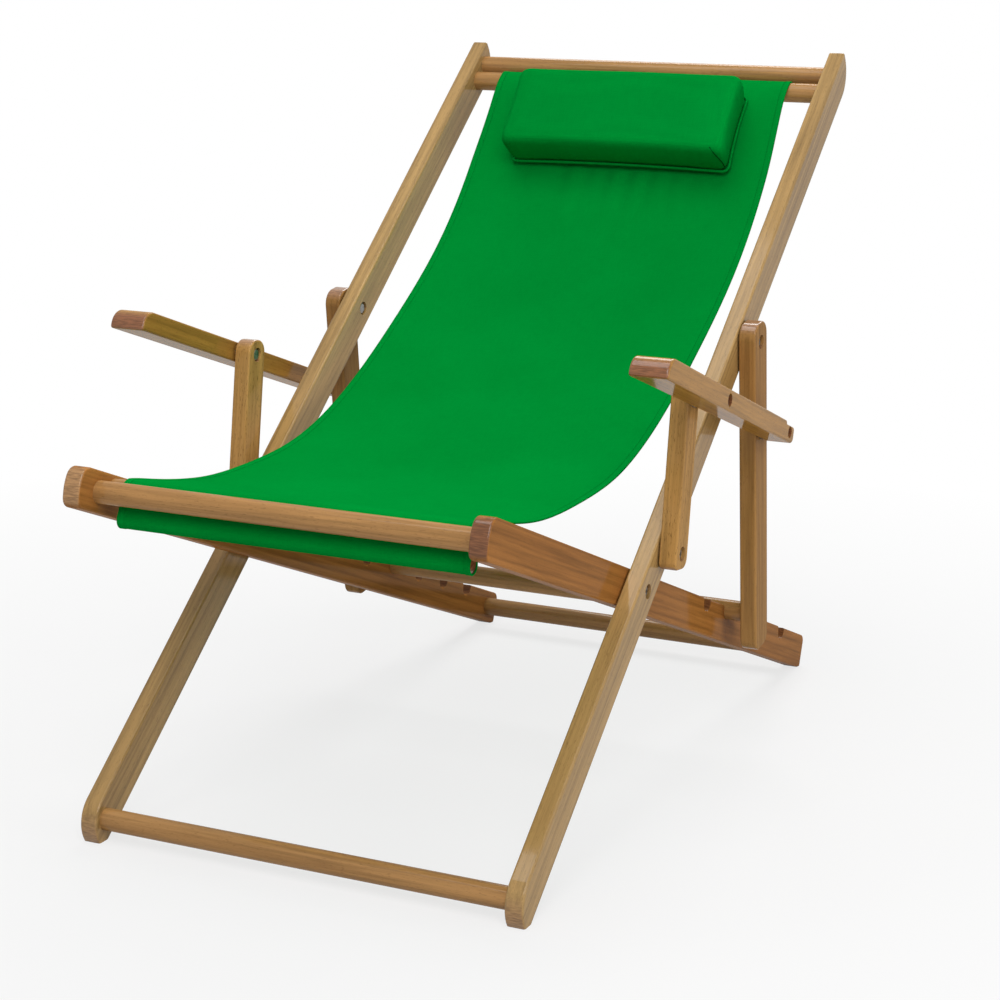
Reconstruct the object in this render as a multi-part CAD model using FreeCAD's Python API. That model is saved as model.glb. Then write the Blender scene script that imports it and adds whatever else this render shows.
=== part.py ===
"""Folding wooden sling chair: back frame, seat frame, prop frame, linked armrests, sling and head pillow.

Millimetres. X runs across the chair, Y from the front (-) to the rear (+), Z up. The origin is on the
floor, midway across the chair and midway between its front and rear ends.
"""
import os
import math
import FreeCAD
import Part

V = FreeCAD.Vector

# Overall size
HALF_WIDTH = 336.5          # outer edge of the armrests
HEIGHT = 838.0              # top of the back rails

# Timber stock
BOARD_T = 21.0              # thickness of every board across the chair
BOARD_W = 45.0              # width of rails and prop legs
POST_W = 37.0               # width of the arm posts
EDGE_R = 2.5                # rounding of the long edges
DOWEL_R = 12.5              # all cross dowels
SOCKET = 14.0               # depth of a dowel socket in a board
GLUE = 0.05                 # glue line around a socketed dowel

# Layers across the chair, from the armrests inwards
LAYER_GAP = 1.5             # washer between two boards
ARM_GAP = 3.0               # spacer between armrest and link boards
ARM_W_FRONT = 44.0
ARM_W_REAR = 32.5
ARM_IN = HALF_WIDTH - ARM_W_FRONT
LINK_OUT = ARM_IN - ARM_GAP
LINK_IN = LINK_OUT - BOARD_T
BACK_OUT = LINK_IN - LAYER_GAP
BACK_IN = BACK_OUT - BOARD_T
SEAT_OUT = BACK_IN - LAYER_GAP
SEAT_IN = SEAT_OUT - BOARD_T

# Main pivot and the two frames that cross there; distances run along a rail from the pivot
PIVOT_Y = -150.9
PIVOT_Z = 275.0
BACK_ANGLE = 38.6           # back rail above the floor
SEAT_ANGLE = -20.75         # seat rail falls to the rear
BACK_FOOT = 427.0
BACK_END_R = 36.0           # large round on one corner at each end of a back rail
TIP_R = 3.0                 # its other corner
TOP_INSET = 24.2            # upper dowel from the rail's end
DOWEL_PITCH = 32.0          # between the two top dowels that clamp the sling
FOOT_DOWEL = 401.0
POST_PIVOT = 57.0
PROP_PIVOT = 382.0
SEAT_FRONT = 406.54
SEAT_REAR = 726.5
SEAT_DOME = 4.5             # bulge of a seat rail's front end
SEAT_RADII = (11.0, 5.0, 10.0, 15.0, 45.0)  # rounds of a seat rail: low front, low rear, top rear, top front, dome
FRONT_DOWEL = 368.0
FRONT_PITCH = 28.0          # front dowel to the inner one, along the rail
INNER_RAISE = 6.5           # inner front dowel above the middle of the rail
REAR_DOWEL = 694.0

# Notches for the crossbar, counted from the front
NOTCH_FIRST = 281.0
NOTCH_PITCH = 82.5
NOTCH_COUNT = 5
NOTCH_USED = 1
BAR_SUNK = 4.0              # crossbar centre below the top edge of the seat rail
ROLL_GAP = 0.3              # between round faces of bodies that move apart
NOTCH_MOUTH = 16.5          # half width above the rail's top edge

# Prop legs, arm posts and armrests
PROP_HEAD = 24.0            # leg beyond its pivot
PROP_TAIL = 44.0            # leg below the crossbar
ARM_ON_PROP = 110.0         # armrest pivot down the leg
POST_TOP = (66.0, 211.0)    # armrest bolt on the post, from the main pivot
POST_END = 18.0             # post beyond its bolts
ARM_T = 24.0
ARM_NOSE = 222.0            # armrest in front of its post bolt
ARM_TAIL = 19.0             # armrest behind its prop bolt
NOSE_R = 19.0
TONGUE_L = 38.0             # thinner tongue at the rear end
TONGUE_STEP = 4.0

# Bolts
BOLT_R = 4.0
RUN_FIT = 0.06              # radial clearance of a turning bolt
HEAD_R = 7.0
HEAD_H = 4.5
NUT_H = 6.0
BORE_R = 8.5                # counterbore for heads and nuts
BORE_DEPTH = 7.5
WASHER_R = 12.0
SKIN = 0.05                 # play between flat faces

# Sling and its two loose rods
SLING_SIDE = 17.5           # cloth clear of each seat rail
SLING_HALF = SEAT_IN - SLING_SIDE
CLOTH = 1.5
ROD_R = 8.0
ROD_SHORT = 1.5             # rod short of each edge of the cloth
ROD_HALF = SLING_HALF - ROD_SHORT
ROD_HANG = 11.0             # slack of the front rod below the two dowels that stop it
CLOTH_GAP = 0.3
TOP_WRAP = (8.0, 84.0)      # where the cloth meets and leaves the lower top dowel, above the rail's line
FRONT_WRAP = (76.0, 176.0)  # the same on the inner front dowel, above the floor
# Sag of the cloth: share of the way from the top dowel to the front one, and drop as a share of that way
SAG = [(0.0474, 0.0087), (0.1052, 0.0460), (0.1694, 0.0801), (0.2454, 0.1096), (0.4067, 0.1412),
       (0.5586, 0.1534), (0.6782, 0.1416), (0.7755, 0.1106), (0.8749, 0.0666), (0.9562, 0.0140)]

# Head pillow
PILLOW_W = 306.0
PILLOW_L = 116.0
PILLOW_H = 55.0
PILLOW_TOP = 27.0           # its upper edge down the sling from the dowel
PILLOW_DRAW = 3.0           # sides drawn in between the corners
PILLOW_CORNER = 9.0
# Its outline's height and inset, from the base to the crown
PILLOW_ROWS = [(0.0, 3.0), (5.0, 0.4), (24.0, 0.0), (43.0, 1.0), (49.5, 4.5), (53.0, 12.0), (55.0, 32.0)]
COVER = 1.2
FOAM_GAP = 0.3


class Axis:
    """A straight line in the side view, with points given along it and square to it."""

    def __init__(self, y, z, angle):
        self.y, self.z = y, z
        self.c, self.s = math.cos(math.radians(angle)), math.sin(math.radians(angle))

    def at(self, along, up=0.0):
        return (self.y + along * self.c - up * self.s, self.z + along * self.s + up * self.c)


def axis_between(a, b):
    return Axis(a[0], a[1], math.degrees(math.atan2(b[1] - a[1], b[0] - a[0])))


def distance(a, b):
    return math.hypot(b[0] - a[0], b[1] - a[1])


BACK = Axis(PIVOT_Y, PIVOT_Z, BACK_ANGLE)
SEAT = Axis(PIVOT_Y, PIVOT_Z, SEAT_ANGLE)
BACK_TOP = TIP_R + (HEIGHT - TIP_R - PIVOT_Z - (BOARD_W / 2 - TIP_R) * BACK.c) / BACK.s
TOP_DOWEL = BACK_TOP - TOP_INSET - DOWEL_PITCH

MAIN = (PIVOT_Y, PIVOT_Z)
POST_BOLT = BACK.at(POST_PIVOT)
PROP_BOLT = BACK.at(PROP_PIVOT)
CROSSBAR = SEAT.at(NOTCH_FIRST + NOTCH_USED * NOTCH_PITCH, BOARD_W / 2 - BAR_SUNK)
PROP = axis_between(PROP_BOLT, CROSSBAR)
PROP_L = distance(PROP_BOLT, CROSSBAR)
ARM_REAR = PROP.at(ARM_ON_PROP)
ARM_FRONT = (PIVOT_Y + POST_TOP[0], PIVOT_Z + POST_TOP[1])
POST = axis_between(POST_BOLT, ARM_FRONT)
POST_L = distance(POST_BOLT, ARM_FRONT)
ARM = axis_between(ARM_FRONT, ARM_REAR)
ARM_L = distance(ARM_FRONT, ARM_REAR)

SLEEVE_R = ROD_R + CLOTH_GAP + CLOTH
WRAP = DOWEL_R + CLOTH_GAP + CLOTH / 2


def rod_drop(pitch):
    """Distance of a rod from the middle of two dowels when its sleeve meets both."""
    return math.sqrt((DOWEL_R + CLOTH_GAP + SLEEVE_R) ** 2 - (pitch / 2) ** 2)


ROD_DROP = rod_drop(DOWEL_PITCH)
TOP_ROD = BACK.at(TOP_DOWEL + DOWEL_PITCH / 2, -ROD_DROP)
OUTER = SEAT.at(-FRONT_DOWEL)
INNER = SEAT.at(FRONT_PITCH - FRONT_DOWEL, INNER_RAISE)
FRONT_ROD = ((OUTER[0] + INNER[0]) / 2,
             (OUTER[1] + INNER[1]) / 2 - rod_drop(distance(OUTER, INNER)) - ROD_HANG)


def point(yz, x=0.0):
    return V(x, yz[0], yz[1])


def rounded_wire(corners, radii):
    """Closed outline in the side view with each corner rounded to its radius."""
    pieces, starts, ends = [], [], []
    count = len(corners)
    for i in range(count):
        p, a, b = point(corners[i]), point(corners[i - 1]), point(corners[(i + 1) % count])
        da, db = (a - p).normalize(), (b - p).normalize()
        half = math.acos(max(-1.0, min(1.0, da.dot(db)))) / 2
        cut = radii[i] / math.tan(half)
        middle = (da + db).normalize() * (radii[i] / math.sin(half) - radii[i])
        starts.append(p + da * cut)
        ends.append(p + db * cut)
        pieces.append(Part.Arc(starts[i], p + middle, ends[i]).toShape())
    for i in range(count):
        nxt = (i + 1) % count
        if (starts[nxt] - ends[i]).Length > 1e-6:
            pieces.append(Part.makeLine(ends[i], starts[nxt]))
    return Part.Wire(Part.__sortEdges__(pieces))


def slab(wire, x0, x1):
    face = Part.Face(wire)
    face.translate(V(x0 - wire.BoundBox.XMin, 0, 0))
    return face.extrude(V(x1 - x0, 0, 0))


def eased(solid, radius=EDGE_R):
    """Round the edges around the two broad faces of a board."""
    box = solid.BoundBox
    rim = []
    for edge in solid.Edges:
        eb = edge.BoundBox
        flat = eb.XLength < 1e-6
        if flat and min(abs(eb.XMin - box.XMin), abs(eb.XMin - box.XMax)) < 1e-6:
            rim.append(edge)
    return solid.makeFillet(radius, rim)


def rod(yz, radius, x0, x1):
    return Part.makeCylinder(radius, x1 - x0, point(yz, x0), V(1, 0, 0))


def above_floor(solid):
    box = solid.BoundBox
    base = V(box.XMin - 1, box.YMin - 1, -50)
    return solid.cut(Part.makeBox(box.XLength + 2, box.YLength + 2, 50, base))


def mirrored(shape):
    return shape.mirror(V(0, 0, 0), V(1, 0, 0))


def save(name, shape):
    shape.exportStep(os.path.join("parts", name + ".step"))


def save_pair(name, right):
    save(name + "_right", right)
    save(name + "_left", mirrored(right))


def save_both(name, right):
    """One node that holds the equal pieces of both sides."""
    save(name, Part.makeCompound([right, mirrored(right)]))


def bolt_hole(yz, radius, x0, x1):
    return rod(yz, radius, x0 - 1, x1 + 1)


def back_rail():
    half = BOARD_W / 2
    corners = [BACK.at(-BACK_FOOT, -half), BACK.at(BACK_TOP, -half), BACK.at(BACK_TOP, half),
               BACK.at(-BACK_FOOT, half)]
    rail = eased(slab(rounded_wire(corners, [TIP_R, BACK_END_R, TIP_R, BACK_END_R]), BACK_IN, BACK_OUT))
    for along in (TOP_DOWEL, TOP_DOWEL + DOWEL_PITCH, -FOOT_DOWEL):
        rail = rail.cut(rod(BACK.at(along), DOWEL_R + GLUE, BACK_IN - 1, BACK_IN + SOCKET + GLUE))
    for yz in (MAIN, POST_BOLT, PROP_BOLT):
        rail = rail.cut(bolt_hole(yz, BOLT_R + RUN_FIT, BACK_IN, BACK_OUT))
    rail = rail.cut(rod(MAIN, BORE_R, BACK_OUT - BORE_DEPTH, BACK_OUT + 1))
    for yz in (POST_BOLT, PROP_BOLT):
        rail = rail.cut(rod(yz, BORE_R, BACK_IN - 1, BACK_IN + BORE_DEPTH))
    return above_floor(rail)


def notch(along):
    """Round-bottomed notch that opens towards the top edge of the seat rail."""
    centre = BOARD_W / 2 - BAR_SUNK
    radius = DOWEL_R + ROLL_GAP
    lip = BOARD_W / 2 + 6.0
    mouth = [SEAT.at(along - radius, centre), SEAT.at(along + radius, centre),
             SEAT.at(along + NOTCH_MOUTH, lip), SEAT.at(along - NOTCH_MOUTH, lip)]
    wedge = slab(Part.makePolygon([point(p) for p in mouth + mouth[:1]]), SEAT_IN - 1, SEAT_OUT + 1)
    return wedge.fuse(rod(SEAT.at(along, centre), radius, SEAT_IN - 1, SEAT_OUT + 1))


def seat_rail():
    half = BOARD_W / 2
    front = SEAT_DOME - SEAT_FRONT
    corners = [SEAT.at(front, -half), SEAT.at(SEAT_REAR, -half), SEAT.at(SEAT_REAR, half),
               SEAT.at(front, half), SEAT.at(-SEAT_FRONT)]
    rail = eased(slab(rounded_wire(corners, SEAT_RADII), SEAT_IN, SEAT_OUT))
    for yz in (OUTER, INNER, SEAT.at(REAR_DOWEL)):
        rail = rail.cut(rod(yz, DOWEL_R + GLUE, SEAT_IN - 1, SEAT_IN + SOCKET + GLUE))
    for i in range(NOTCH_COUNT):
        rail = rail.cut(notch(NOTCH_FIRST + i * NOTCH_PITCH))
    rail = rail.cut(bolt_hole(MAIN, BOLT_R + RUN_FIT, SEAT_IN, SEAT_OUT))
    rail = rail.cut(rod(MAIN, BORE_R, SEAT_IN - 1, SEAT_IN + BORE_DEPTH))
    return above_floor(rail)


def prop_leg():
    half = BOARD_W / 2
    corners = [PROP.at(-PROP_HEAD, -half), PROP.at(PROP_L + PROP_TAIL, -half),
               PROP.at(PROP_L + PROP_TAIL, half), PROP.at(-PROP_HEAD, half)]
    leg = eased(slab(rounded_wire(corners, [18.0, 14.0, 14.0, 18.0]), LINK_IN, LINK_OUT))
    leg = leg.cut(rod(CROSSBAR, DOWEL_R + GLUE, LINK_IN - 1, LINK_IN + SOCKET + GLUE))
    leg = leg.cut(bolt_hole(PROP_BOLT, BOLT_R + RUN_FIT, LINK_IN, LINK_OUT))
    leg = leg.cut(rod(PROP_BOLT, BORE_R, LINK_OUT - BORE_DEPTH, LINK_OUT + 1))
    leg = leg.cut(bolt_hole(ARM_REAR, BOLT_R + RUN_FIT, LINK_IN, LINK_OUT))
    return leg.cut(rod(ARM_REAR, BORE_R, LINK_IN - 1, LINK_IN + BORE_DEPTH))


def arm_post():
    half = POST_W / 2
    corners = [POST.at(-POST_END, -half), POST.at(POST_L + POST_END, -half),
               POST.at(POST_L + POST_END, half), POST.at(-POST_END, half)]
    post = eased(slab(rounded_wire(corners, [13.0, 16.0, 16.0, 9.0]), LINK_IN, LINK_OUT))
    post = post.cut(bolt_hole(POST_BOLT, BOLT_R + RUN_FIT, LINK_IN, LINK_OUT))
    post = post.cut(rod(POST_BOLT, BORE_R, LINK_OUT - BORE_DEPTH, LINK_OUT + 1))
    return post.cut(rod(ARM_FRONT, BORE_R, LINK_IN - 1, LINK_IN + BORE_DEPTH))


def armrest():
    half = ARM_T / 2
    tail = ARM_L + ARM_TAIL
    step = tail - TONGUE_L
    corners = [ARM.at(-ARM_NOSE, -half), ARM.at(tail, -half), ARM.at(tail, half - TONGUE_STEP),
               ARM.at(step + TONGUE_STEP, half - TONGUE_STEP), ARM.at(step, half), ARM.at(-ARM_NOSE, half)]
    side = slab(rounded_wire(corners, [3.0, 7.0, 5.0, 3.0, 1.5, NOSE_R]), ARM_IN, HALF_WIDTH)
    reach = 30.0
    rear_x = ARM_IN + ARM_W_REAR
    slope = (HALF_WIDTH - rear_x) / (tail + ARM_NOSE)
    front, rear = -ARM_NOSE - reach, tail + reach
    plan = []
    for along, x in ((front, ARM_IN), (rear, ARM_IN), (rear, rear_x - slope * reach),
                     (front, HALF_WIDTH + slope * reach)):
        plan.append(point(ARM.at(along, -half - reach), x))
    prism = Part.Face(Part.makePolygon(plan + plan[:1]))
    up = point(ARM.at(0, 1)) - point(ARM.at(0, 0))
    arm = side.common(prism.extrude(up * (ARM_T + 2 * reach)))
    long_edges = []
    along_arm = (point(ARM.at(1)) - point(ARM.at(0))).normalize()
    for edge in arm.Edges:
        run = edge.Vertexes[-1].Point - edge.Vertexes[0].Point
        if run.Length > 0.5 * ARM_L and abs(run.normalize().dot(along_arm)) > 0.99:
            long_edges.append(edge)
    arm = arm.makeFillet(EDGE_R, long_edges)
    for yz, depth in ((ARM_FRONT, BORE_DEPTH + 6.0), (ARM_REAR, BORE_DEPTH + 4.0)):
        arm = arm.cut(bolt_hole(yz, BOLT_R + RUN_FIT, ARM_IN, HALF_WIDTH))
        arm = arm.cut(rod(yz, BORE_R - 1.0, face_x(yz) - depth, HALF_WIDTH + 1))
    return arm


def face_x(yz):
    """Outer edge of the tapered armrest beside a bolt."""
    along = distance(ARM.at(-ARM_NOSE), yz)
    length = ARM_NOSE + ARM_L + ARM_TAIL
    return HALF_WIDTH - (ARM_W_FRONT - ARM_W_REAR) * along / length


def rim_at(solid, x):
    """Edges of a turned piece that lie square to X at one place."""
    return [e for e in solid.Edges if abs(e.BoundBox.XMin - x) < 1e-6 and e.BoundBox.XLength < 1e-6]


def bolt(yz, head_x, tip_x):
    """Round-headed bolt along X, head on the outer side with a hexagon socket."""
    head = rod(yz, HEAD_R, head_x, head_x + HEAD_H)
    head = head.makeFillet(1.8, rim_at(head, head_x + HEAD_H))
    ring = []
    for i in range(7):
        turn = math.radians(60 * i)
        ring.append(V(head_x + HEAD_H + 1, yz[0] + 2.5 * math.cos(turn), yz[1] + 2.5 * math.sin(turn)))
    socket = Part.Face(Part.makePolygon(ring)).extrude(V(-4.0, 0, 0))
    return head.fuse(rod(yz, BOLT_R, tip_x, head_x)).cut(socket).removeSplitter()


def nut(yz, x0):
    """Domed barrel nut on the inner end of a bolt."""
    body = rod(yz, HEAD_R, x0, x0 + NUT_H)
    return body.makeFillet(2.0, rim_at(body, x0)).cut(rod(yz, BOLT_R + GLUE, x0 + 1.5, x0 + NUT_H + 1))


def washer(yz, x0, thickness, radius=WASHER_R):
    return rod(yz, radius, x0, x0 + thickness).cut(bolt_hole(yz, BOLT_R + 0.3, x0, x0 + thickness))


def save_pivot(name, yz, outer, inner, gap_x):
    """Bolt, nut and washer of a pivot: head recessed in the outer board, nut in the inner one."""
    head_x = outer - BORE_DEPTH + SKIN
    nut_x = inner + BORE_DEPTH - SKIN - NUT_H
    save_both(name + "_bolts", bolt(yz, head_x, nut_x + 2.0))
    save_both(name + "_nuts", nut(yz, nut_x))
    save_both(name + "_washers", washer(yz, gap_x + SKIN, LAYER_GAP - 2 * SKIN))


def save_arm_bolts():
    front_x = face_x(ARM_FRONT) - BORE_DEPTH - 6.0 + SKIN
    rear_x = face_x(ARM_REAR) - BORE_DEPTH - 4.0 + SKIN
    nut_x = LINK_IN + BORE_DEPTH - SKIN - NUT_H
    save_pair("arm_front_bolt", bolt(ARM_FRONT, front_x, LINK_OUT + ROLL_GAP))
    save_pair("arm_front_nut", nut(ARM_FRONT, nut_x))
    save_pair("arm_front_spacer", washer(ARM_FRONT, LINK_OUT + ROLL_GAP, ARM_GAP - ROLL_GAP - SKIN))
    save_both("arm_rear_bolts", bolt(ARM_REAR, rear_x, nut_x + 2.0))
    save_both("arm_rear_nuts", nut(ARM_REAR, nut_x))
    save_both("arm_rear_spacers", washer(ARM_REAR, LINK_OUT + SKIN, ARM_GAP - 2 * SKIN))


def dowel(yz, inner_face, radius=DOWEL_R):
    half = inner_face + SOCKET
    return rod(yz, radius, -half, half)


def arc_points(centre, radius, start, end, count):
    out = []
    for i in range(count):
        turn = math.radians(start + (end - start) * i / (count - 1))
        out.append((centre[0] + radius * math.cos(turn), centre[1] + radius * math.sin(turn)))
    return out


def sag_points():
    top = BACK.at(TOP_DOWEL)
    chord = axis_between(top, INNER)
    span = distance(top, INNER)
    return [chord.at(share * span, drop * span) for share, drop in SAG]


def sling_line():
    """Middle of the cloth in the side view, from the top sleeve down to the front sleeve."""
    top_gap = TOP_DOWEL + DOWEL_PITCH / 2
    lean = WRAP - DOWEL_PITCH / 2
    depth = ROD_DROP - SLEEVE_R + CLOTH
    start = [BACK.at(top_gap + lean, -depth), BACK.at(top_gap + lean, -depth / 2)]
    over_top = arc_points(BACK.at(TOP_DOWEL), WRAP, BACK_ANGLE + TOP_WRAP[0], BACK_ANGLE + TOP_WRAP[1], 6)
    over_front = arc_points(INNER, WRAP, *FRONT_WRAP, 7)
    hang = INNER[1] - FRONT_ROD[1] - SLEEVE_R + CLOTH
    end = [(INNER[0] - WRAP, INNER[1] - hang / 2), (FRONT_ROD[0], INNER[1] - hang)]
    return start + over_top + sag_points() + over_front + end


def curve_through(line):
    curve = Part.BSplineCurve()
    curve.interpolate([point(p) for p in line])
    return curve


def cloth_strip(line, thickness):
    """Strip of cloth with the given middle line, as a closed outline of two curves."""
    middle = curve_through(line)
    first, last = middle.FirstParameter, middle.LastParameter
    sides = ([], [])
    steps = 6 * len(line)
    for i in range(steps + 1):
        at = first + (last - first) * i / steps
        tangent = V(middle.tangent(at)[0])
        normal = V(0, -tangent.z, tangent.y) * (thickness / 2)
        sides[0].append(middle.value(at) + normal)
        sides[1].append(middle.value(at) - normal)
    curves = []
    for row in sides:
        curve = Part.BSplineCurve()
        curve.interpolate(row)
        curves.append(curve.toShape())
    caps = [Part.makeLine(sides[0][0], sides[1][0]), Part.makeLine(sides[0][-1], sides[1][-1])]
    return Part.Wire(Part.__sortEdges__(curves + caps))


def sling():
    cloth = slab(cloth_strip(sling_line(), CLOTH), -SLING_HALF, SLING_HALF)
    for yz in (TOP_ROD, FRONT_ROD):
        cloth = cloth.fuse(rod(yz, SLEEVE_R, -SLING_HALF, SLING_HALF))
    for yz in (TOP_ROD, FRONT_ROD):
        cloth = cloth.cut(rod(yz, ROD_R + CLOTH_GAP, -SLING_HALF - 1, SLING_HALF + 1))
    return cloth


def pillow_section(z, inset):
    """Outline of the cushion at one height: round corners and sides drawn in between them."""
    hx, hy, r = PILLOW_W / 2 - inset, PILLOW_L / 2 - inset, PILLOW_CORNER
    short = r * (1 - math.sqrt(0.5))
    edges = []
    for sx, sy in ((1, -1), (1, 1), (-1, 1), (-1, -1)):
        side_x, side_y = V(sx * (hx - r), sy * hy, z), V(sx * hx, sy * (hy - r), z)
        corner = V(sx * (hx - short), sy * (hy - short), z)
        if sx * sy < 0:
            edges.append(Part.Arc(side_x, corner, side_y).toShape())
            drawn = V(sx * (hx - PILLOW_DRAW), 0, z)
            edges.append(Part.Arc(side_y, drawn, V(sx * hx, -side_y.y, z)).toShape())
        else:
            edges.append(Part.Arc(side_y, corner, side_x).toShape())
            drawn = V(0, sy * (hy - PILLOW_DRAW), z)
            edges.append(Part.Arc(side_x, drawn, V(-side_x.x, side_x.y, z)).toShape())
    return Part.Wire(edges)


def pillow_solid(inset):
    """Boxed cushion lying on z = 0, with full sides and a crowned top."""
    scale = (PILLOW_H - 2 * inset) / PILLOW_H
    rows = [pillow_section(inset + scale * z, inset + pull) for z, pull in PILLOW_ROWS]
    return Part.makeLoft(rows, True, False)


def pillow_place():
    """Turn and shift that lay the pillow on the front of the sling below the top dowels."""
    wrap = DOWEL_R + CLOTH_GAP + CLOTH
    start = BACK.at(TOP_DOWEL, wrap)
    low = sag_points()[1]
    run = axis_between(low, start)
    angle = math.degrees(math.atan2(run.s, run.c))
    middle = distance(low, start) - PILLOW_TOP - PILLOW_L / 2
    rise = 0.0
    for p in curve_through(sling_line()).discretize(Number=400):
        along = (p.y - low[0]) * run.c + (p.z - low[1]) * run.s
        if abs(along - middle) < PILLOW_L / 2:
            rise = max(rise, (p.z - low[1]) * run.c - (p.y - low[0]) * run.s)
    base = run.at(middle, rise + CLOTH / 2 + CLOTH_GAP)
    turn = FreeCAD.Rotation(V(1, 0, 0), angle)
    return FreeCAD.Placement(point(base), turn)


def placed(shape, placement):
    return shape.transformGeometry(placement.toMatrix())


def main():
    os.makedirs("parts", exist_ok=True)
    save_pair("back_rail", back_rail())
    save("top_dowel_lower", dowel(BACK.at(TOP_DOWEL), BACK_IN))
    save("top_dowel_upper", dowel(BACK.at(TOP_DOWEL + DOWEL_PITCH), BACK_IN))
    save("foot_dowel", dowel(BACK.at(-FOOT_DOWEL), BACK_IN))
    save_pair("seat_rail", seat_rail())
    save("front_dowel", dowel(OUTER, SEAT_IN))
    save("inner_front_dowel", dowel(INNER, SEAT_IN))
    save("rear_dowel", dowel(SEAT.at(REAR_DOWEL), SEAT_IN))
    save_pair("prop_leg", prop_leg())
    save("prop_crossbar", dowel(CROSSBAR, LINK_IN))
    save_pair("arm_post", arm_post())
    save_pair("armrest", armrest())
    save("top_rod", rod(TOP_ROD, ROD_R, -ROD_HALF, ROD_HALF))
    save("front_rod", rod(FRONT_ROD, ROD_R, -ROD_HALF, ROD_HALF))
    save("sling", sling())
    place = pillow_place()
    save("pillow_cover", placed(pillow_solid(0.0).cut(pillow_solid(COVER)), place))
    save("pillow_foam", placed(pillow_solid(COVER + FOAM_GAP), place))
    save_pivot("main_pivot", MAIN, BACK_OUT, SEAT_IN, SEAT_OUT)
    save_pivot("prop_pivot", PROP_BOLT, LINK_OUT, BACK_IN, BACK_OUT)
    save_pivot("post_pivot", POST_BOLT, LINK_OUT, BACK_IN, BACK_OUT)
    save_arm_bolts()


main()
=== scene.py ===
import math

import bmesh
import bpy
import numpy as np
from mathutils import Matrix, Vector


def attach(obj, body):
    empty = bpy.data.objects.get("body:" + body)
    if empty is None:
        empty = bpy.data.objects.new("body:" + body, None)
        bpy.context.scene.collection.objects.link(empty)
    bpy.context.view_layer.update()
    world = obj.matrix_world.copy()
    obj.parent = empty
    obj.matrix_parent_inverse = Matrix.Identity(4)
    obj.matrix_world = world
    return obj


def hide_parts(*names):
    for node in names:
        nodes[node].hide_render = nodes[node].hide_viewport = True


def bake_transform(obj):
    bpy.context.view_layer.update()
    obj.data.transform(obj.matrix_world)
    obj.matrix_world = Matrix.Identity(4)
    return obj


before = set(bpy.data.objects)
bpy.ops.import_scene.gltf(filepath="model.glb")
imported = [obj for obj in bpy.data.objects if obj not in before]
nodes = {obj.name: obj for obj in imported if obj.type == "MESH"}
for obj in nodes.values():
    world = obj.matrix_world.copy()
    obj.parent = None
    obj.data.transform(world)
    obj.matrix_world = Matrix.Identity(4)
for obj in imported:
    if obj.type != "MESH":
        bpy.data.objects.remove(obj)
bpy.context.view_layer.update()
scene = bpy.context.scene
scene.view_settings.view_transform = "Standard"

# Sizes shared with the CAD part, in metres and degrees
PIVOT = (-0.1509, 0.275)
BACK_ANGLE = 38.6
SEAT_ANGLE = -20.75
TOP_DOWEL = 0.81998
FRONT_DOWEL = 0.368
DOWEL_PITCH = 0.032
FRONT_PITCH = 0.028
INNER_RAISE = 0.0065
ROD_HANG = 0.011
DOWEL_R = 0.0125
ROD_R = 0.008
CLOTH = 0.0015
CLOTH_GAP = 0.0003
SLING_HALF = 0.206
SAG = [(0.4479, 0.7600), (0.4070, 0.7021), (0.3588, 0.6447), (0.2974, 0.5872), (0.1553, 0.4949),
       (0.0147, 0.4248), (-0.1042, 0.3900), (-0.2092, 0.3822), (-0.3212, 0.3860), (-0.4192, 0.4050)]
PILLOW_W, PILLOW_L, PILLOW_H = 0.306, 0.116, 0.055
PILLOW_TOP = 0.027
PROP_ANGLE = -82.2
POST_ANGLE = 83.0
ARM_ANGLE = -18.3


def at(angle, along, up=0.0):
    """Point (y, z) on a line through the main pivot, along it and square to it."""
    c, s = math.cos(math.radians(angle)), math.sin(math.radians(angle))
    return (PIVOT[0] + along * c - up * s, PIVOT[1] + along * s + up * c)


def arc(centre, radius, start, end, count):
    turns = np.radians(np.linspace(start, end, count))
    return [(centre[0] + radius * math.cos(t), centre[1] + radius * math.sin(t)) for t in turns]


def mesh_object(name, verts, faces, smooth=True):
    mesh = bpy.data.meshes.new(name)
    mesh.from_pydata([tuple(v) for v in verts], [], faces)
    mesh.validate()
    mesh.update()
    if smooth:
        mesh.polygons.foreach_set("use_smooth", [True] * len(mesh.polygons))
    obj = bpy.data.objects.new(name, mesh)
    scene.collection.objects.link(obj)
    return obj


def spline_points(points, step):
    """Smooth curve through the points, with even spacing: a cubic spline with natural ends."""
    p = np.array(points, float)
    t = np.concatenate([[0], np.cumsum(np.linalg.norm(np.diff(p, axis=0), axis=1))])
    n = len(p)
    h = np.diff(t)
    a = np.zeros((n, n))
    rhs = np.zeros((n, p.shape[1]))
    a[0, 0] = a[-1, -1] = 1
    for i in range(1, n - 1):
        a[i, i - 1], a[i, i], a[i, i + 1] = h[i - 1], 2 * (h[i - 1] + h[i]), h[i]
        rhs[i] = 6 * ((p[i + 1] - p[i]) / h[i] - (p[i] - p[i - 1]) / h[i - 1])
    m = np.linalg.solve(a, rhs)
    fine = np.linspace(0, t[-1], 6000)
    k = np.clip(np.searchsorted(t, fine) - 1, 0, n - 2)
    u, v = (fine - t[k])[:, None], (t[k + 1] - fine)[:, None]
    hk = h[k][:, None]
    q = (m[k] * v ** 3 + m[k + 1] * u ** 3) / (6 * hk)
    q += (p[k] / hk - m[k] * hk / 6) * v + (p[k + 1] / hk - m[k + 1] * hk / 6) * u
    return resampled(q, step)


def resampled(points, step):
    q = np.array(points, float)
    s = np.concatenate([[0], np.cumsum(np.linalg.norm(np.diff(q, axis=0), axis=1))])
    want = np.linspace(0, s[-1], max(2, int(round(s[-1] / step)) + 1))
    return np.stack([np.interp(want, s, q[:, i]) for i in range(q.shape[1])], axis=1)


# Materials

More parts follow.
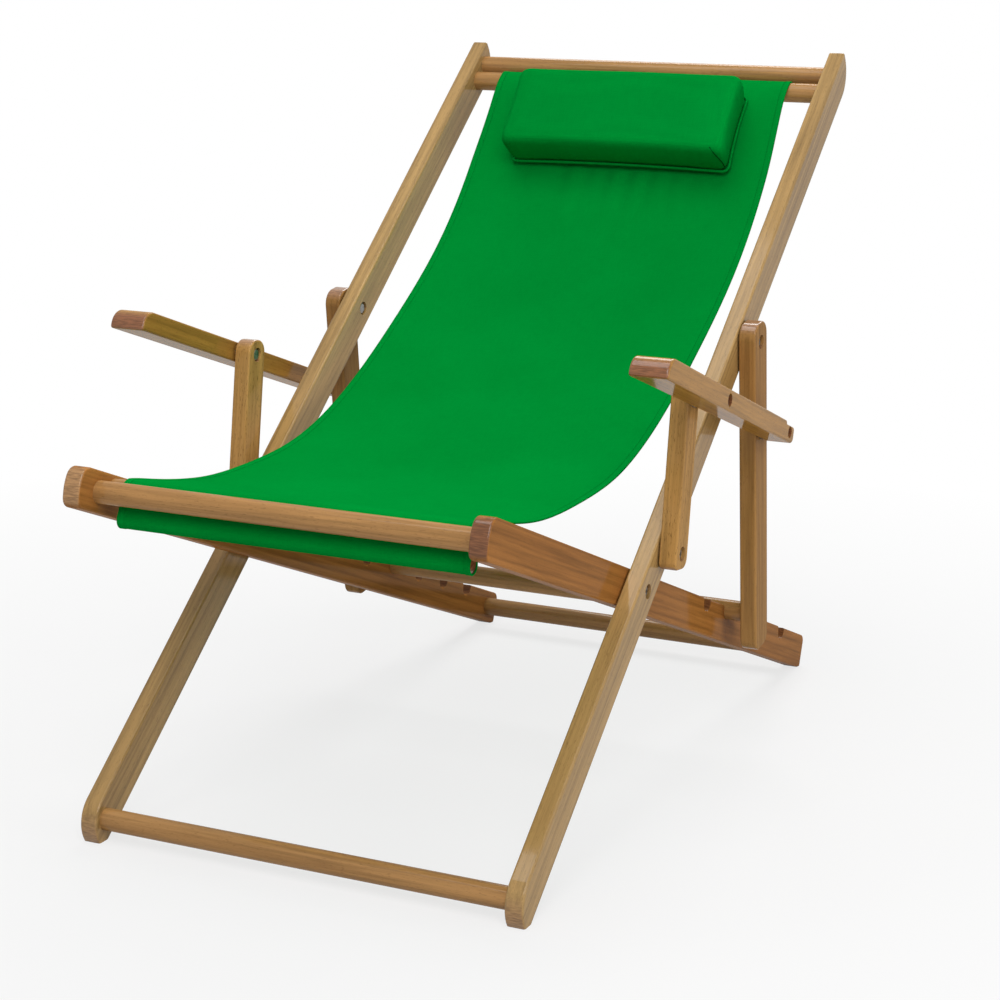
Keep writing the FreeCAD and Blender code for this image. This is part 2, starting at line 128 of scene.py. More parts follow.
def new_material(name):
    mat = bpy.data.materials.new(name)
    mat.use_nodes = True
    tree = mat.node_tree
    tree.nodes.clear()
    out = tree.nodes.new("ShaderNodeOutputMaterial")
    bsdf = tree.nodes.new("ShaderNodeBsdfPrincipled")
    tree.links.new(bsdf.outputs["BSDF"], out.inputs["Surface"])
    return mat, tree, bsdf


def node(tree, kind, **values):
    n = tree.nodes.new(kind)
    for key, value in values.items():
        if key.startswith("in_"):
            n.inputs[key[3:]].default_value = value
        else:
            setattr(n, key, value)
    return n


def ramp(tree, source, stops):
    n = tree.nodes.new("ShaderNodeValToRGB")
    e = n.color_ramp.elements
    while len(e) < len(stops):
        e.new(0.5)
    for i, (pos, value) in enumerate(stops):
        e[i].position = pos
        e[i].color = (value, value, value, 1) if np.isscalar(value) else (*value, 1)
    tree.links.new(source, n.inputs["Fac"])
    return n.outputs["Color"]


def mix(tree, kind, factor, a, b):
    n = tree.nodes.new("ShaderNodeMix")
    n.data_type = "RGBA"
    n.blend_type = kind
    for socket, value in ((n.inputs[0], factor), (n.inputs[6], a), (n.inputs[7], b)):
        if hasattr(value, "is_linked"):
            tree.links.new(value, socket)
        elif np.isscalar(value):
            socket.default_value = value
        else:
            socket.default_value = (*value, 1)
    return n.outputs[2]


def math_node(tree, op, a, b=0.5, clamp=False):
    n = tree.nodes.new("ShaderNodeMath")
    n.operation = op
    n.use_clamp = clamp
    for i, value in enumerate((a, b)):
        if hasattr(value, "is_linked"):
            tree.links.new(value, n.inputs[i])
        else:
            n.inputs[i].default_value = value
    return n.outputs[0]


def stretched_noise(tree, vector, scale, detail, rough=0.55, distortion=0.0):
    m = node(tree, "ShaderNodeMapping")
    m.inputs["Scale"].default_value = scale
    tree.links.new(vector, m.inputs["Vector"])
    n = node(tree, "ShaderNodeTexNoise", in_Scale=1.0, in_Detail=detail, in_Roughness=rough,
             in_Distortion=distortion)
    tree.links.new(m.outputs["Vector"], n.inputs["Vector"])
    return n.outputs["Fac"]


def wood(name, turn, light, end, figure, seed, fleck=0.35, gloss=0.15, end_gloss=0.9, tip=None):
    """Varnished hardwood: grain along local X after the turn, flecks, figure and darker end grain.

    A tip (colour, place along the board) gives the end in front of that place a tone of its own and
    keeps the glossy end coat to it. End faces behind that place, such as the notch walls, keep the
    end colour; where that is darker than the tip, it is painted shade in the notches.
    """
    dark = [0.76 * light[0], 0.72 * light[1], 0.66 * light[2]]
    mat, tree, bsdf = new_material(name)
    coords = node(tree, "ShaderNodeTexCoord")
    align = node(tree, "ShaderNodeMapping")
    align.inputs["Rotation"].default_value = turn
    align.inputs["Location"].default_value = (seed, seed * 0.7, seed * 1.3)
    tree.links.new(coords.outputs["Object"], align.inputs["Vector"])
    along = align.outputs["Vector"]
    broad = stretched_noise(tree, along, (1.6, 26, 26), 3.0)
    grain = stretched_noise(tree, along, (5.0, 170, 170), 6.0, 0.6, 0.3)
    fibre = stretched_noise(tree, along, (30, 1100, 1100), 3.0, 0.6)
    dash = stretched_noise(tree, along, (150, 900, 900), 2.0, 0.5)
    figure_map = node(tree, "ShaderNodeMapping")
    figure_map.inputs["Scale"].default_value = (0.35, 6.5, 6.5)
    tree.links.new(along, figure_map.inputs["Vector"])
    rings = node(tree, "ShaderNodeTexWave", wave_type="RINGS", rings_direction="X", wave_profile="SAW")
    rings.inputs["Scale"].default_value = 4.2
    rings.inputs["Distortion"].default_value = 3.2
    rings.inputs["Detail"].default_value = 3.0
    rings.inputs["Detail Scale"].default_value = 1.1
    tree.links.new(figure_map.outputs["Vector"], rings.inputs["Vector"])
    tone = mix(tree, "MIX", ramp(tree, broad, [(0.30, 0.0), (0.72, 1.0)]), dark, light)
    lines = ramp(tree, grain, [(0.36, 0.66), (0.58, 1.02)])
    tone = mix(tree, "MULTIPLY", 0.85, tone, lines)
    fig = ramp(tree, rings.outputs["Fac"], [(0.0, 0.72), (0.28, 0.95), (0.82, 1.0), (1.0, 0.80)])
    tone = mix(tree, "MULTIPLY", figure, tone, fig)
    tone = mix(tree, "MULTIPLY", 0.5, tone, ramp(tree, fibre, [(0.32, 0.82), (0.62, 1.04)]))
    tone = mix(tree, "MULTIPLY", fleck, tone, ramp(tree, dash, [(0.30, 0.38), (0.40, 1.0)]))
    face = node(tree, "ShaderNodeMapping", vector_type="NORMAL")
    face.inputs["Rotation"].default_value = turn
    tree.links.new(coords.outputs["Normal"], face.inputs["Vector"])
    parts = node(tree, "ShaderNodeSeparateXYZ")
    tree.links.new(face.outputs["Vector"], parts.inputs["Vector"])
    end_mask = ramp(tree, math_node(tree, "ABSOLUTE", parts.outputs["X"]), [(0.45, 0.0), (0.85, 1.0)])
    coated = end_mask
    if tip:
        reach = node(tree, "ShaderNodeSeparateXYZ")
        tree.links.new(along, reach.inputs["Vector"])
        # End faces behind the tip keep the first end colour; on the left seat rail this darker colour on
        # the notch walls is painted shade.
        ahead = math_node(tree, "LESS_THAN", reach.outputs["X"], tip[1] + seed)
        end = mix(tree, "MIX", ahead, end, tip[0])
        coated = math_node(tree, "MULTIPLY", end_mask, ahead)
    layers = stretched_noise(tree, along, (60, 90, 900), 3.0)
    end_tone = mix(tree, "MULTIPLY", 0.8, end, ramp(tree, layers, [(0.36, 0.55), (0.62, 1.15)]))
    tone = mix(tree, "MIX", end_mask, tone, end_tone)
    tree.links.new(tone, bsdf.inputs["Base Color"])
    rough = math_node(tree, "MULTIPLY_ADD", grain, -0.16)
    rough.node.inputs[2].default_value = 0.46
    tree.links.new(rough, bsdf.inputs["Roughness"])
    bsdf.inputs["Specular IOR Level"].default_value = 0.0
    coat = math_node(tree, "MULTIPLY_ADD", coated, end_gloss - gloss)
    coat.node.inputs[2].default_value = gloss
    tree.links.new(coat, bsdf.inputs["Coat Weight"])
    bsdf.inputs["Coat Roughness"].default_value = 0.09
    bsdf.inputs["Coat IOR"].default_value = 1.5
    height = mix(tree, "MIX", 0.5, grain, fibre)
    bump = node(tree, "ShaderNodeBump", in_Strength=0.25, in_Distance=0.0004)
    tree.links.new(height, bump.inputs["Height"])
    tree.links.new(bump.outputs["Normal"], bsdf.inputs["Normal"])
    return mat


THREAD_PITCH = 0.0018


def canvas(name, base, shade, use_uv):
    """Plain woven canvas: a fine over-and-under weave with slubs and a soft sheen."""
    mat, tree, bsdf = new_material(name)
    coords = node(tree, "ShaderNodeTexCoord")
    source = coords.outputs["UV" if use_uv else "Object"]
    parts = node(tree, "ShaderNodeSeparateXYZ")
    tree.links.new(source, parts.inputs["Vector"])
    pitch = 2 * math.pi / THREAD_PITCH
    waves = []
    for axis in "XYZ":
        angle = math_node(tree, "MULTIPLY", parts.outputs[axis], pitch)
        waves.append(math_node(tree, "SINE", angle))
    weave = math_node(tree, "MULTIPLY", waves[0], waves[1])
    if not use_uv:
        weave = math_node(tree, "ADD", weave, math_node(tree, "MULTIPLY", waves[2], 0.7))
    slub_x = stretched_noise(tree, source, (60, 900, 900), 2.0)
    slub_y = stretched_noise(tree, source, (900, 60, 60), 2.0)
    slub = math_node(tree, "ADD", slub_x, slub_y)
    cloud = stretched_noise(tree, source, (7, 7, 7), 3.0)
    tone = mix(tree, "MIX", ramp(tree, cloud, [(0.3, 0.0), (0.7, 1.0)]), shade, base)
    over = math_node(tree, "MULTIPLY_ADD", weave, 0.25)
    tone = mix(tree, "MULTIPLY", 0.45, tone, ramp(tree, over, [(0.0, 0.80), (0.5, 1.0), (1.0, 1.06)]))
    uneven = math_node(tree, "MULTIPLY", slub, 0.5)
    tone = mix(tree, "MULTIPLY", 0.35, tone, ramp(tree, uneven, [(0.38, 0.78), (0.55, 1.0), (0.68, 1.1)]))
    tree.links.new(tone, bsdf.inputs["Base Color"])
    bsdf.inputs["Roughness"].default_value = 0.82
    bsdf.inputs["Specular IOR Level"].default_value = 0.0
    bsdf.inputs["Sheen Weight"].default_value = 0.03
    bsdf.inputs["Sheen Roughness"].default_value = 0.5
    bsdf.inputs["Sheen Tint"].default_value = (0.0, 0.8, 0.2, 1)
    height = math_node(tree, "ADD", weave, math_node(tree, "MULTIPLY", slub, 0.8))
    bump = node(tree, "ShaderNodeBump", in_Strength=0.35, in_Distance=0.0003)
    tree.links.new(height, bump.inputs["Height"])
    tree.links.new(bump.outputs["Normal"], bsdf.inputs["Normal"])
    return mat


def thread_material(name, base):
    mat, tree, bsdf = new_material(name)
    coords = node(tree, "ShaderNodeTexCoord")
    twist = stretched_noise(tree, coords.outputs["Object"], (1400, 1400, 1400), 2.0)
    tone = mix(tree, "MULTIPLY", 0.6, base, ramp(tree, twist, [(0.35, 0.7), (0.65, 1.1)]))
    tree.links.new(tone, bsdf.inputs["Base Color"])
    bsdf.inputs["Roughness"].default_value = 0.8
    bsdf.inputs["Specular IOR Level"].default_value = 0.0
    return mat


def steel(name):
    mat, tree, bsdf = new_material(name)
    coords = node(tree, "ShaderNodeTexCoord")
    wear = stretched_noise(tree, coords.outputs["Object"], (260, 260, 260), 4.0)
    worn = ramp(tree, wear, [(0.35, 0.0), (0.7, 1.0)])
    tone = mix(tree, "MIX", worn, (0.16, 0.155, 0.15), (0.36, 0.355, 0.34))
    tree.links.new(tone, bsdf.inputs["Base Color"])
    bsdf.inputs["Metallic"].default_value = 1.0
    tree.links.new(ramp(tree, wear, [(0.3, 0.28), (0.7, 0.45)]), bsdf.inputs["Roughness"])
    return mat


def turned_about_x(angle):
    """Mapping turn that brings a board's length, in the side view at the given angle, onto local X."""
    r = Matrix.Rotation(math.radians(-90), 3, "Z") @ Matrix.Rotation(math.radians(-angle), 3, "X")
    return r.to_euler("XYZ")


# Dark end grain colour; on the left seat rail it also colours the notch walls behind the pale tip as
# painted shade.
END_GRAIN_AND_NOTCH_SHADE, TIP_PLACE = (0.190, 0.074, 0.029), -0.5
LEFT_TIP = (0.38, 0.205, 0.085)
SEAT_TURN = turned_about_x(SEAT_ANGLE)
wood_back = wood("wood_back", turned_about_x(BACK_ANGLE), (0.475, 0.296, 0.110), (0.36, 0.20, 0.080),
                 figure=0.35, seed=0.3, fleck=0.4, gloss=0.5)
wood_seat = wood("wood_seat", SEAT_TURN, (0.42, 0.176, 0.042), END_GRAIN_AND_NOTCH_SHADE,
                 figure=0.8, seed=1.7, fleck=0.25, end_gloss=0.65, tip=(END_GRAIN_AND_NOTCH_SHADE, TIP_PLACE))
# Left seat rail: pale front end grain; its notch walls keep the dark end colour as painted shade.
wood_seat_left = wood("wood_seat_left", SEAT_TURN, (0.42, 0.180, 0.045), END_GRAIN_AND_NOTCH_SHADE,
                      figure=0.8, seed=2.3, fleck=0.25, end_gloss=0.65, tip=(LEFT_TIP, TIP_PLACE))
wood_prop = wood("wood_prop", turned_about_x(PROP_ANGLE), (0.41, 0.215, 0.068), (0.30, 0.15, 0.07),
                 figure=0.4, seed=3.1)
wood_post = wood("wood_post", turned_about_x(POST_ANGLE), (0.56, 0.312, 0.099), (0.36, 0.19, 0.085),
                 figure=0.35, seed=4.6, fleck=0.8)
wood_arm = wood("wood_arm", turned_about_x(ARM_ANGLE), (0.45, 0.226, 0.047), (0.240, 0.095, 0.040),
                figure=0.4, seed=6.2, fleck=0.4, gloss=0.4, end_gloss=0.7)
wood_dowel = wood("wood_dowel", (0.0, 0.0, 0.0), (0.485, 0.260, 0.094), END_GRAIN_AND_NOTCH_SHADE,
                  figure=0.25, seed=7.9, fleck=0.4, gloss=0.35)
steel_mat = steel("zinc_steel")
GREEN, GREEN_SHADE = (0.0001, 0.240, 0.030), (0.0001, 0.217, 0.026)
canvas_sling = canvas("canvas_sling", GREEN, GREEN_SHADE, True)
canvas_pillow = canvas("canvas_pillow", GREEN, GREEN_SHADE, False)
thread_mat = thread_material("thread", (0.0001, 0.150, 0.018))
# Very dark green for the lower right pillow seam: painted shadow of the crease at that corner.
seam_shadow_mat = thread_material("seam_shadow", (0.0001, 0.050, 0.006))

KINDS = {"back_rail": wood_back, "seat_rail": wood_seat, "prop_leg": wood_prop, "arm_post": wood_post,
         "armrest": wood_arm}
for name, obj in nodes.items():
    family = name.rsplit("_", 1)[0]
    if name == "seat_rail_left":
        mat = wood_seat_left
    elif family in KINDS:
        mat = KINDS[family]
    elif "dowel" in name or "rod" in name or "crossbar" in name:
        mat = wood_dowel
    elif name.startswith(("sling", "pillow")):
        mat = canvas_sling
    else:
        mat = steel_mat
    obj.data.materials.clear()
    obj.data.materials.append(mat)


# Sling: one strip of canvas from the rod behind the top dowels to the rod under the front dowel

WRAP = DOWEL_R + CLOTH_GAP + CLOTH / 2
LOOP_R = ROD_R + CLOTH_GAP + CLOTH / 2
SLEEVE_R = ROD_R + CLOTH_GAP + CLOTH
LEAN = WRAP - DOWEL_PITCH / 2
OUTER = at(SEAT_ANGLE, -FRONT_DOWEL)
INNER = at(SEAT_ANGLE, FRONT_PITCH - FRONT_DOWEL, INNER_RAISE)


def rod_drop(pitch):
    """Distance of a rod from the middle of two dowels when its sleeve meets both."""
    return math.sqrt((DOWEL_R + CLOTH_GAP + SLEEVE_R) ** 2 - (pitch / 2) ** 2)


TOP_ROD = at(BACK_ANGLE, TOP_DOWEL + DOWEL_PITCH / 2, -rod_drop(DOWEL_PITCH))
FRONT_ROD = ((OUTER[0] + INNER[0]) / 2,
             (OUTER[1] + INNER[1]) / 2 - rod_drop(math.dist(OUTER, INNER)) - ROD_HANG)


# Turns of the cloth round the dowels and the rods, in degrees, and the points of the neck between the
# front dowels and the front rod, seen from the place where the cloth leaves the inner dowel
TOP_WRAP, FRONT_WRAP = (8, 84), (76, 176)
TOP_LOOP, FRONT_LOOP = 325, (160, 380)
TOP_DIP = 0.003
NECK_IN = ((0.0, -0.003), (-0.0004, -0.006))
NECK_DOWN = ((-0.0040, -0.0125),)
NECK_UP = ((0.0034, -0.0130), (0.0019, -0.0090))


def sling_path(step):
    """Middle line of the cloth from the end of the top sleeve to the end of the front one."""
    top_gap = TOP_DOWEL + DOWEL_PITCH / 2
    top_turn = [BACK_ANGLE + turn for turn in TOP_WRAP]
    over_top = arc(at(BACK_ANGLE, TOP_DOWEL), WRAP, *top_turn, 6)
    over_front = arc(INNER, WRAP, *FRONT_WRAP, 7)
    first = [at(BACK_ANGLE, top_gap + LEAN, -TOP_DIP)]

    def neck(points):
        return [(INNER[0] - WRAP + y, INNER[1] + z) for y, z in points]

    middle = spline_points(first + over_top + SAG + over_front + neck(NECK_IN), step)
    open_at = BACK_ANGLE + math.degrees(math.acos(LEAN / LOOP_R))
    top_loop = arc(TOP_ROD, LOOP_R, open_at + TOP_LOOP, open_at, 30)
    front_loop = neck(NECK_DOWN) + arc(FRONT_ROD, LOOP_R, *FRONT_LOOP, 30) + neck(NECK_UP)
    return np.concatenate([top_loop, middle, front_loop]), len(top_loop), len(top_loop) + len(middle)


PATH_STEP = 0.004
path, path_a, path_b = sling_path(PATH_STEP)
steps = np.linalg.norm(np.diff(path, axis=0), axis=1)
arc_len = np.concatenate([[0], np.cumsum(steps)])
tangent = np.gradient(path, axis=0)
tangent /= np.linalg.norm(tangent, axis=1)[:, None]
normal = np.stack([tangent[:, 1], -tangent[:, 0]], axis=1)
# the seat side of the cloth is the upper one
if normal[(path_a + path_b) // 2][1] < 0:
    normal = -normal
# Path points that lie on the dowels at each end, and the one on the crest of the top dowel
TOP_HELD, FRONT_HELD, TOP_CREST = 14, 12, 8
FREE_RUN, FLARE, FLARE_RUN = 0.12, 0.0028, 0.35
sag_start, sag_end = arc_len[path_a + TOP_HELD], arc_len[path_b - FRONT_HELD]
free = np.clip((arc_len - sag_start) / FREE_RUN, 0, 1) * np.clip((sag_end - arc_len) / FREE_RUN, 0, 1)
free = free * free * (3 - 2 * free)
pillow_end = arc_len[path_a + TOP_CREST] + PILLOW_TOP + PILLOW_L
flare = FLARE * free * np.clip((sag_end - arc_len) / FLARE_RUN, 0, 1)
CROSS_SAG, EDGE_LIFT, SOFT_WAVE = 0.0050, 0.0010, 0.0007
CREASE, CREASE_REACH, CREASE_HIDDEN = 0.0020, 0.045, 0.02


def cloth_lift(x, s, w):
    """Small shape of the cloth off its middle line: cross sag, creases under the pillow, soft waves."""
    across = x / SLING_HALF
    lift = -CROSS_SAG * (1 - across ** 2) + EDGE_LIFT
    below = s - pillow_end
    if below > -CREASE_HIDDEN:
        fade = math.exp(-max(below, 0) / CREASE_REACH)
        fade *= min(1.0, (below + CREASE_HIDDEN) / CREASE_HIDDEN)
        ripple = math.sin(x * 210 + 0.6) * math.exp(-((x - 0.02) / 0.09) ** 2)
        ripple += 0.7 * math.sin(x * 128 + 2.0) * math.exp(-((x + 0.06) / 0.07) ** 2)
        lift += CREASE * fade * ripple
    lift += SOFT_WAVE * math.sin(s * 9.0 + 1.4) * math.sin(x * 11 + 0.7)
    return lift * w


HEM, HEM_STEP, STITCH_IN = 0.009, 0.0022, 0.0011
INNER_FROM, INNER_COUNT = 0.018, 64
hem_places = (0.0, 0.0006, 0.003, HEM - HEM_STEP, HEM - STITCH_IN, HEM, HEM + HEM_STEP)
hem_columns = [d - SLING_HALF for d in hem_places]
inner = np.linspace(INNER_FROM - SLING_HALF, SLING_HALF - INNER_FROM, INNER_COUNT)
columns = np.array(hem_columns + list(inner) + [-c for c in reversed(hem_columns)])
edge_in = SLING_HALF - np.abs(columns)
EDGE = 0.0004
# Distance from the cloth's edge, and the height of the front face up to there
HEM_RIDGES = ((EDGE, EDGE), (0.0045, 0.0012), (HEM - 0.0016, 0.00115), (HEM - EDGE, 0.00045))
HEM_EXTRA, HEM_EASE = 0.0009, 0.0005


def hem_top(d):
    """Front face: a low ridge over the hem and a groove along its stitches."""
    return next((height for reach, height in HEM_RIDGES if d < reach), CLOTH / 2)


def hem_back(d, w):
    """Rear face: the folded hem is thicker than the cloth, where nothing lies against it."""
    if d < EDGE:
        return EDGE
    return CLOTH / 2 + (HEM_EXTRA * w if d < HEM + HEM_EASE else 0.0)


verts, faces, uvs = [], [], []
rows, cols = len(path), len(columns)
for side in (1, -1):
    for i in range(rows):
        for j in range(cols):
            x = columns[j]
            d = edge_in[j]
            off = cloth_lift(x, arc_len[i], free[i])
            thick = hem_top(d) if side > 0 else hem_back(d, free[i])
            y, z = path[i] + normal[i] * (off + side * thick)
            verts.append((x * (1 + flare[i] / SLING_HALF), y, z))
            uvs.append((x, arc_len[i]))
for side in (0, 1):
    base = side * rows * cols
    for i in range(rows - 1):
        for j in range(cols - 1):
            a = base + i * cols + j
            q = [a, a + 1, a + cols + 1, a + cols]
            faces.append(q if side else q[::-1])
other = rows * cols
for i in range(rows - 1):
    for j, flip in ((0, False), (cols - 1, True)):
        q = [i * cols + j, (i + 1) * cols + j, other + (i + 1) * cols + j, other + i * cols + j]
        faces.append(q[::-1] if flip else q)
for j in range(cols - 1):
    for i, flip in ((0, True), (rows - 1, False)):
        q = [i * cols + j, i * cols + j + 1, other + i * cols + j + 1, other + i * cols + j]
        faces.append(q[::-1] if flip else q)
sling = mesh_object("sling_canvas", verts, faces)
bm = bmesh.new()
bm.from_mesh(sling.data)
bmesh.ops.recalc_face_normals(bm, faces=bm.faces)
bm.to_mesh(sling.data)
bm.free()
layer = sling.data.uv_layers.new(name="cloth")
flat_uv = np.array(uvs, np.float32)
loops = np.zeros(len(sling.data.loops), np.int32)
sling.data.loops.foreach_get("vertex_index", loops)
layer.data.foreach_set("uv", flat_uv[loops].ravel())
sling.data.materials.append(canvas_sling)


STITCH_SIDES, STITCH_AHEAD = 5, 0.0004
# Place along the stitch, share of its radius and height in radii
STITCH_RINGS = ((0.0, 0.55, -0.5), (0.25, 1.0, 0.35), (0.75, 1.0, 0.35), (1.0, 0.55, -0.5))


def stitch_row(name, points, ups, length, gap, radius):
    """Row of short thread stitches along a line, each sinking into the cloth at both ends."""
    pts = np.array(points, float)
    up = np.array(ups, float)
    s = np.concatenate([[0], np.cumsum(np.linalg.norm(np.diff(pts, axis=0), axis=1))])

    def along(values, where):
        return np.array([np.interp(where, s, values[:, a]) for a in range(3)])

    out_v, out_f = [], []
    begin = gap
    while begin + length < s[-1]:
        b = len(out_v)
        for f, r, h in STITCH_RINGS:
            w = begin + f * length
            c = along(pts, w)
            u = along(up, w)
            u /= np.linalg.norm(u)
            a0 = along(pts, w + STITCH_AHEAD) - c
            a0 /= max(np.linalg.norm(a0), 1e-9)
            side = np.cross(a0, u)
            for q in range(STITCH_SIDES):
                t = 2 * math.pi * q / STITCH_SIDES
                raised = u * (radius * h + radius * r * math.sin(t))
                out_v.append(c + raised + side * radius * r * math.cos(t))
        last = b + STITCH_SIDES * (len(STITCH_RINGS) - 1)
        for here in range(b, last, STITCH_SIDES):
            there = here + STITCH_SIDES
            for q in range(STITCH_SIDES):
                n = (q + 1) % STITCH_SIDES
                out_f.append([here + q, here + n, there + n, there + q])
        out_f.append([b + q for q in reversed(range(STITCH_SIDES))])
        out_f.append([last + q for q in range(STITCH_SIDES)])
        begin += length + gap
    obj = mesh_object(name, out_v, out_f)
    obj.data.materials.append(thread_mat)
    return obj


STITCH_LENGTH, STITCH_GAP, STITCH_R, STITCH_LIFT = 0.0030, 0.0009, 0.00032, 0.00055
hem_stitches = []
for label, sx in (("left", -1), ("right", 1)):
    line, ups = [], []
    x = sx * (SLING_HALF - HEM + STITCH_IN)
    for i in range(path_a + 2, path_b - 2):
        lift = cloth_lift(x, arc_len[i], free[i]) + STITCH_LIFT
        y, z = path[i] + normal[i] * lift
        line.append((x * (1 + flare[i] / SLING_HALF), y, z))
        ups.append((0, normal[i][0], normal[i][1]))
    hem_stitches.append(stitch_row("hem_stitches_" + label, line, ups, STITCH_LENGTH, STITCH_GAP, STITCH_R))


# Pillow: boxed cushion on the front of the sling

DRAW, CORNER, PILLOW_ASIDE = 0.003, 0.009, 0.005
start = np.array(at(BACK_ANGLE, TOP_DOWEL, DOWEL_R + CLOTH_GAP + CLOTH))
low = np.array(SAG[1])
run = (start - low) / np.linalg.norm(start - low)
pillow_angle = math.atan2(run[1], run[0])
up = np.array([-run[1], run[0]])
middle = np.linalg.norm(start - low) - PILLOW_TOP - PILLOW_L / 2
near = [p for p in path[path_a:path_b] - low if abs(p @ run - middle) < PILLOW_L / 2]
rise = max(p @ up for p in near)
base = low + run * middle + up * (rise + CLOTH / 2 + CLOTH_GAP)
pillow_matrix = Matrix.Translation((PILLOW_ASIDE, base[0], base[1])) @ Matrix.Rotation(pillow_angle, 4, "X")
# Height of each ring of the side, and how far it lies inside the outline
ROWS = [(0.0, 0.002), (0.004, 0.0002), (0.024, -0.001), (0.043, -0.001), (0.0505, 0.0015), (0.0535, 0.0060),
        (0.0547, 0.020)]
BASE_INSETS, FRONT_INSET, FRONT_RISE = (0.050, 0.030), 0.050, 0.0004


def pillow_ring(inset, z, count=30):
    """Outline of the cushion: round corners, and sides drawn in between them."""
    hx, hy = PILLOW_W / 2 - inset, PILLOW_L / 2 - inset
    r = min(CORNER, hy)
    pts = []
    for sx, sy, start_turn in ((1, -1, -90), (1, 1, 0), (-1, 1, 90), (-1, -1, 180)):
        for t in np.radians(np.linspace(start_turn, start_turn + 90, 7)):
            pts.append([sx * (hx - r) + r * math.cos(t), sy * (hy - r) + r * math.sin(t)])
    ring = np.array(pts + pts[:1])
    around = np.linalg.norm(np.diff(ring, axis=0), axis=1).sum()
    ring = resampled(ring, around / (4 * count))[:4 * count]
    bow_x = DRAW * (1 - (ring[:, 1] / hy) ** 2) * (np.abs(ring[:, 0]) / hx) ** 8
    bow_y = DRAW * (1 - (ring[:, 0] / hx) ** 2) * (np.abs(ring[:, 1]) / hy) ** 8
    ring[:, 0] -= np.sign(ring[:, 0]) * bow_x
    ring[:, 1] -= np.sign(ring[:, 1]) * bow_y
    return np.column_stack([ring, np.full(len(ring), z)])


def pillow_shell(shrink):
    """Closed box of rings, from the middle of the base over the sides to the middle of the front."""
    rings = [pillow_ring(inset, shrink) for inset in BASE_INSETS]
    rings += [pillow_ring(inset + shrink, z * (1 - 2 * shrink / PILLOW_H) + shrink) for z, inset in ROWS]
    rings.append(pillow_ring(FRONT_INSET, PILLOW_H + FRONT_RISE - shrink))
    count = len(rings[0])
    verts = [p for r in rings for p in r]
    faces = []
    for k in range(len(rings) - 1):
        for q in range(count):
            n = (q + 1) % count
            faces.append([k * count + q, k * count + n, (k + 1) * count + n, (k + 1) * count + q])
    faces.append([q for q in reversed(range(count))])
    faces.append([(len(rings) - 1) * count + q for q in range(count)])
    return verts, faces


BASE_BAND, RIM_BAND, UPRIGHT_BAND = 0.008, 0.010, 0.014


def held_points(co):
    """Points along the base and the edges of the box, which the filling holds in place."""
    from_x, from_y = PILLOW_W / 2 - np.abs(co[:, 0]), PILLOW_L / 2 - np.abs(co[:, 1])
    base_edge = co[:, 2] < BASE_BAND
    rim = (co[:, 2] > PILLOW_H - RIM_BAND) & (np.minimum(from_x, from_y) < RIM_BAND)
    upright = np.maximum(from_x, from_y) < UPRIGHT_BAND
    return np.flatnonzero(base_edge | rim | upright)


def inflate(obj, cap, frames=18):
    """Swell the faces of a closed mesh a little under pressure, with every point's move capped."""
    remesh = obj.modifiers.new("remesh", "REMESH")
    remesh.mode = "VOXEL"
    remesh.voxel_size = 0.004
    bake(obj)
    rest = points_of(obj)
    obj.vertex_groups.new(name="hold").add(held_points(rest).tolist(), 1.0, "REPLACE")
    cloth = obj.modifiers.new("cloth", "CLOTH")
    settings = cloth.settings
    settings.vertex_group_mass = "hold"
    settings.use_pressure = True
    settings.uniform_pressure_force = 4.0
    settings.tension_stiffness = settings.compression_stiffness = 18
    settings.shear_stiffness = 12
    settings.bending_stiffness = 1.2
    settings.effector_weights.gravity = 0
    settings.quality = 6
    cloth.point_cache.frame_start, cloth.point_cache.frame_end = 1, frames
    for f in range(1, frames + 1):
        scene.frame_set(f)
    bake(obj)
    scene.frame_set(1)
    moved = points_of(obj) - rest
    size = np.linalg.norm(moved, axis=1)[:, None]
    new = rest + moved * np.minimum(1.0, cap / np.maximum(size, 1e-9))
    set_points(obj, new)
    bm = bmesh.new()
    bm.from_mesh(obj.data)
    for _ in range(3):
        bmesh.ops.smooth_vert(bm, verts=bm.verts, factor=0.5,
                              use_axis_x=True, use_axis_y=True, use_axis_z=True)
    bm.to_mesh(obj.data)
    bm.free()


def bake(obj):
    """Replace the mesh by what its modifiers make of it."""
    deps = bpy.context.evaluated_depsgraph_get()
    mesh = bpy.data.meshes.new_from_object(obj.evaluated_get(deps))
    obj.modifiers.clear()
    old = obj.data
    obj.data = mesh
    bpy.data.meshes.remove(old)


def points_of(obj):
    co = np.zeros(len(obj.data.vertices) * 3)
    obj.data.vertices.foreach_get("co", co)
    return co.reshape(-1, 3)


def set_points(obj, co):
    obj.data.vertices.foreach_set("co", np.asarray(co, np.float32).ravel())
    obj.data.update()


SHELL_SHRINK, SWELL, BASE_LIFT, SURFACE_WAVE = 0.0006, 0.0030, 0.0004, 0.0006
